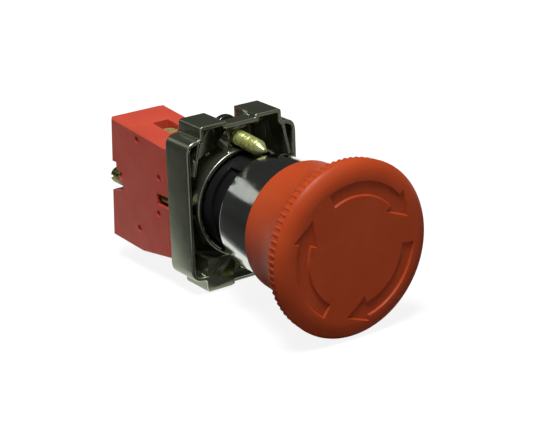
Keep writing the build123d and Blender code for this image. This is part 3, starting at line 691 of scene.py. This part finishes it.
def collar_outline(inset):
    """The casting's outline from the front: a rounded plate with two lugs above and two below."""
    side, plate, waist, top = (size - inset for size in (PLATE_X, PLATE_Z, WAIST_Z, LUG_Z))
    inner, outer = LUG_IN + inset, LUG_OUT - inset
    plate_corner, neck = 2.9 - inset, 0.8 + inset / 2
    lug_corner, dip = max(0.3, 0.9 - inset), min(0.3, 0.15 + inset)
    half = [
        (side, plate, plate_corner), (outer, plate, neck), (outer, top, lug_corner), (inner, top, lug_corner),
        (inner, waist, dip), (-inner, waist, dip), (-inner, top, lug_corner), (-outer, top, lug_corner),
        (-outer, plate, neck), (-side, plate, plate_corner),
    ]
    return rounded(half + [(-x, -z, r) for x, z, r in half], 5, 0.75)


def soft_front(outline, front, rear, edge):
    """A prism whose front edge is rolled over."""
    roll = [(front, -edge), (front + 0.13 * edge, -0.55 * edge), (front + 0.45 * edge, -0.15 * edge)]
    return prism(outline, roll + [(front + edge, 0), (rear, 0)])


def collar_fillings(side):
    """What stands in the hollow on one side: the lower lug's filling, a contact block's boss and a rib."""
    column = box_outline(3.6, -19.0, 10.45, -11.5)
    boss = [
        Vector((BOSS_X * side + BOSS_R * math.cos(t), BOSS_Z + BOSS_R * math.sin(t)))
        for t in (2 * math.pi * k / 48 for k in range(48))
    ]
    rib = [(12.5, 8.3), (13.1, 8.5), (11.4, 16.6), (10.6, 16.6)]
    return [
        prism(on_side(column, side), [(COLLAR_FRONT, 0), (FILLING_END, 0)]),
        soft_front(boss, BOSS_FRONT, FILLING_END, 0.45),
        soft_front(on_side(rib, side), COLLAR_FRONT, FILLING_END, 0.22),
    ]


def collar_cuts(side):
    """What is cut away above or below: the screw's groove, its head's bay, the bay's step and its hole."""
    way = turned([(0, -3), (CLAMP_WAY_R, -3), (CLAMP_WAY_R, PAST_REAR), (0, PAST_REAR)], 48)
    for point in way.vertices:
        point.co.z += (CLAMP_Z * MM - point.co.y * math.tan(math.radians(CLAMP_LEAN))) * side
    groove = band(GROOVE_X, GROOVE_NEAR, GROOVE_FAR, side)
    return [
        prism(groove, [(COLLAR_FRONT - 1, 0), (COLLAR_FRONT + 2, -0.08)]),
        prism(band(BAY_X, BAY_NEAR, PAST_LUGS, side), [(BAY_FRONT, 0), (PAST_REAR, 0)]),
        prism(band(BAY_X, STEP_NEAR, PAST_LUGS, side), [(STEP_FRONT, 0), (PAST_REAR, 0)]),
        way,
    ]


def clamp_collar():
    """The casting: plate and lugs, round mouth, hollows with slanted ribs, screw grooves and head bays."""
    front, rear = COLLAR_FRONT, COLLAR_REAR
    body = prism(collar_outline(0), [
        (front, -0.36), (front + 0.04, -0.2), (front + 0.13, -0.08), (front + 0.26, -0.02), (front + 0.4, 0),
        (rear - 0.2, 0), (rear - 0.05, -0.05), (rear, -0.15),
    ])
    hollow = prism(collar_outline(WALL), [
        (front - 1, 0.24), (front - 0.01, 0.24), (front + 0.05, 0.12), (front + 0.15, 0.04), (front + 0.3, 0),
        (front + HOLLOW_DEPTH, -0.1),
    ])
    body = cut(body, [hollow], solver="MANIFOLD")
    ring = turned(rounded([
        (11.0, FILLING_END, 0), (11.0, RING_FRONT, 0.2), (RING_R, RING_FRONT, 0.3), (RING_R, FILLING_END, 0),
    ], 5), 192)
    middle = soft_front(box_outline(-3.8, -18, 3.8, 18), front, FILLING_END, 0.2)
    fillings = [ring, middle] + collar_fillings(-1) + collar_fillings(1)
    body = cut(body, fillings, "UNION", "MANIFOLD")
    mouth = turned([
        (0, 0), (MOUTH_R, 0), (MOUTH_R, SEAT_Y), (BORE_R, SEAT_Y), (BORE_R, PAST_REAR), (0, PAST_REAR),
    ], 192)
    body = cut(body, [mouth] + collar_cuts(-1) + collar_cuts(1), solver="MANIFOLD")
    body.materials.clear()
    body.materials.append(None)
    body.materials.append(None)
    # Faces on the rolled front edge take the lighter coat: a painted highlight along the rim
    rim_depth = (front + 0.32) * MM
    for face in body.polygons:
        on_roll = 0.25 < abs(face.normal.y) < 0.97
        face.material_index = int(face.center.y < rim_depth and on_roll)
    body.shade_smooth()
    obj = loose(body)
    even_shading(obj)
    coats = [olive_casting, painted_edge_highlight]
    finished(plain_mesh(obj), "clamp_collar_casting", "base", "olive_cast", ["clamp_collar"], 40, coats)


def dressed_pieces():
    """The CAD pieces that need only rounded edges and their finish."""
    for node in (
        "block_housing", "block_cover", "barrel", "panel_gasket", "terminal_screw_upper",
        "terminal_screw_lower", "terminal_clamp_upper", "terminal_clamp_lower", "pusher_plate", "spindle",
        "carriage", "fixed_contact_upper", "fixed_contact_lower", "spindle_clip",
    ):
        edge = HOUSING_EDGE if node.startswith("block") else SMALL_EDGE
        finished(dressed(node, edge), node + "_finish", body_of[node], slot_of[node], [node])
    screw = dressed("fixing_screw", SCREW_EDGE)
    finished(screw, "fixing_screw_finish", "base", "zinc_plated", ["fixing_screw"], coats=[dark_zinc])


def coil_tree():
    """Geometry Nodes: a coil spring of round wire, wound along Y."""
    tree, nodes, links, given = new_tree("coil spring", (
        ("Coil radius", "Float", None), ("Wire radius", "Float", None), ("Length", "Float", None),
        ("Turns", "Float", None), ("Start", "Vector", None), ("Finish", "Material", None),
    ))
    coil = wound_wire(
        nodes, links, given.outputs["Turns"], given.outputs["Coil radius"], given.outputs["Length"],
        given.outputs["Wire radius"], given.outputs["Start"], 40, 14,
    )
    return end_tree(tree, given, coil)


def coil_springs(tree):
    """Each spring is a coil of round wire filling the box of the CAD spring that it replaces; the table also
    names the two bodies that its ends bear on.
    """
    for node, wire, turns, front_body, rear_body in (
        ("twist_spring", 0.25 * MM, 3.0, "head", "pusher"),
        ("return_spring", 0.4 * MM, 4.0, "pusher", "base"),
        ("contact_spring", 0.25 * MM, 4.0, "contact_carrier", "base"),
    ):
        low, high = (Vector(corner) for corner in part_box(node))
        middle = (low + high) / 2
        mesh = from_tree(tree, **{
            "Coil radius": (high.x - low.x) / 2 - wire, "Wire radius": wire, "Turns": turns,
            "Length": high.y - low.y - 2 * wire, "Start": (middle.x, low.y + wire, middle.z),
            "Finish": spring_wire,
        })
        work = bmesh.new()
        work.from_mesh(mesh)
        bmesh.ops.recalc_face_normals(work, faces=work.faces)
        work.to_mesh(mesh)
        work.free()
        mesh.shade_smooth()
        spring = loose(mesh, node + "_coil")
        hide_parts(node)
        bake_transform(spring)


def plain_nodes():
    """The small hidden CAD pieces keep their own shape and take their finish."""
    for node, obj in frame["nodes"].items():
        if not obj.hide_render:
            obj.data.materials.clear()
            obj.data.materials.append(MATERIALS[slot_of[node]])


def ray_switch(nodes, links, names):
    """1 for the named kinds of ray, 0 for the others."""
    path = nodes.new("ShaderNodeLightPath")
    last = path.outputs[names[0]]
    for name in names[1:]:
        last = larger(nodes, links, last, path.outputs[name])
    return last


def faded(nodes, links, distance, near, far, near_value, far_value, shape="SMOOTHSTEP"):
    """A value that goes from near_value to far_value as distance goes from near to far."""
    fade = nodes.new("ShaderNodeMapRange")
    fade.interpolation_type = shape
    fade.inputs["From Min"].default_value = near
    fade.inputs["From Max"].default_value = far
    fade.inputs["To Min"].default_value = near_value
    fade.inputs["To Max"].default_value = far_value
    links.new(distance, fade.inputs["Value"])
    return fade.outputs["Result"]


def mirrored_floor(nodes, links, place, z):
    """The floor as metal shows it, a painted reflection: white close beside the button, dark further off,
    with a painted shadow under the head and painted light in patches to the left and far in front; lengths in
    metres.
    """
    to_the_left = (-0.93, -0.377, 0)
    patch_centre = (-0.058, -0.021, z)
    aside = nodes.new("ShaderNodeVectorMath")
    aside.operation = "DOT_PRODUCT"
    aside.inputs[1].default_value = to_the_left
    links.new(place, aside.inputs[0])
    shade = nodes.new("ShaderNodeValToRGB")
    stops = shade.color_ramp.elements
    stops[0].position, stops[0].color = 0.225, grey(1.0)
    stops[1].position, stops[1].color = 1.0, grey(0.03)
    for position, value in ((0.25, 0.2), (0.32, 0.045)):
        stops.new(position).color = grey(value)
    links.new(faded(nodes, links, aside.outputs["Value"], 0.0, 0.05, 0.0, 1.0, "LINEAR"), shade.inputs["Fac"])
    apart = nodes.new("ShaderNodeSeparateXYZ")
    links.new(place, apart.inputs[0])
    ahead = apart.outputs["Y"]
    # Painted shadow: the floor that metal shows darkens under the head
    painted_shadow_under_head = faded(nodes, links, ahead, 0.0045, 0.007, 0.1, 1.0)
    beside = multiplied(nodes, links, shade.outputs["Color"], painted_shadow_under_head)
    spot = nodes.new("ShaderNodeVectorMath")
    spot.operation = "DISTANCE"
    spot.inputs[1].default_value = patch_centre
    links.new(place, spot.inputs[0])
    # Painted light: bright patches to the left and far in front, seen only in the metal
    painted_light_patch = faded(nodes, links, spot.outputs["Value"], 0.012, 0.028, 0.8, 0.0)
    painted_light_far_front = faded(nodes, links, ahead, -0.07, -0.05, 0.4, 0.0)
    image = nodes.new("ShaderNodeEmission")
    image.inputs["Color"].default_value = grey(1.0)
    patches = larger(nodes, links, painted_light_patch, painted_light_far_front)
    links.new(larger(nodes, links, beside, patches), image.inputs["Strength"])
    return image.outputs["Emission"]


def floor():
    """A pale floor: white to the eye, with the object's soft shadow."""
    mesh = bpy.data.meshes.new("floor")
    z = cad_box[0].z
    size = 3.0
    corners = [(-size, -size, z), (size, -size, z), (size, size, z), (-size, size, z)]
    mesh.from_pydata(corners, [], [(0, 1, 2, 3)])
    obj = loose(mesh, "floor")
    material, nodes, links, shader = new_material("floor_white")
    shader.inputs["Base Color"].default_value = grey(0.22)
    shader.inputs["Roughness"].default_value = 1.0
    shader.inputs["Specular IOR Level"].default_value = 0.0
    place = nodes.new("ShaderNodeTexCoord").outputs["Object"]
    away = nodes.new("ShaderNodeVectorMath")
    away.operation = "LENGTH"
    links.new(place, away.inputs[0])
    glow = nodes.new("ShaderNodeEmission")
    seen = ray_switch(nodes, links, ["Is Camera Ray"])
    bright = faded(nodes, links, away.outputs["Value"], 0.05, 0.3, 0.88, 1.0)
    links.new(multiplied(nodes, links, seen, bright), glow.inputs["Strength"])
    lit = nodes.new("ShaderNodeAddShader")
    links.new(shader.outputs["BSDF"], lit.inputs[0])
    links.new(glow.outputs["Emission"], lit.inputs[1])
    choice = nodes.new("ShaderNodeMixShader")
    links.new(ray_switch(nodes, links, ["Is Glossy Ray", "Is Transmission Ray"]), choice.inputs["Fac"])
    links.new(lit.outputs["Shader"], choice.inputs[1])
    links.new(mirrored_floor(nodes, links, place, z), choice.inputs[2])
    links.new(choice.outputs["Shader"], nodes["Material Output"].inputs["Surface"])
    mesh.materials.append(material)


def soft_lamp(name, place, size, power):
    """A soft box turned to the object, its place and size in metres and its power in watts."""
    data = bpy.data.lights.new(name, "AREA")
    data.shape = "RECTANGLE"
    data.size, data.size_y = size
    data.energy = power
    lamp = bpy.data.objects.new(name, data)
    bpy.context.scene.collection.objects.link(lamp)
    lamp.location = place
    lamp.rotation_euler = (-Vector(place)).to_track_quat("-Z", "Y").to_euler()


def studio_world():
    """White to the eye, a weak even light on the object, and dim in the metal."""
    world = bpy.data.worlds.new("studio")
    bpy.context.scene.world = world
    world.use_nodes = True
    nodes, links = world.node_tree.nodes, world.node_tree.links
    backdrop = nodes["Background"]
    backdrop.inputs["Color"].default_value = grey(1.0)
    seen = faded(nodes, links, ray_switch(nodes, links, ["Is Camera Ray"]), 0.0, 1.0, 0.1, 1.0)
    mirrored = faded(nodes, links, ray_switch(nodes, links, ["Is Glossy Ray"]), 0.0, 1.0, 1.0, 0.35)
    links.new(multiplied(nodes, links, seen, mirrored), backdrop.inputs["Strength"])


photo_camera()
mushroom_cap()
rim_ribs()
bezel()
clamp_screws(thread_tree())
clamp_collar()
dressed_pieces()
coil_springs(coil_tree())
plain_nodes()

floor()
soft_lamp("key_lamp", (-0.17, -0.165, 0.78), (0.3, 0.3), 6.0)
soft_lamp("front_lamp", (0.10, -0.80, 0.30), (0.4, 0.4), 0.16)
soft_lamp("band_lamp", (-0.18, 0.39, 0.225), (0.20, 0.12), 0.044)
studio_world()
bpy.context.scene.view_settings.view_transform = "Standard"
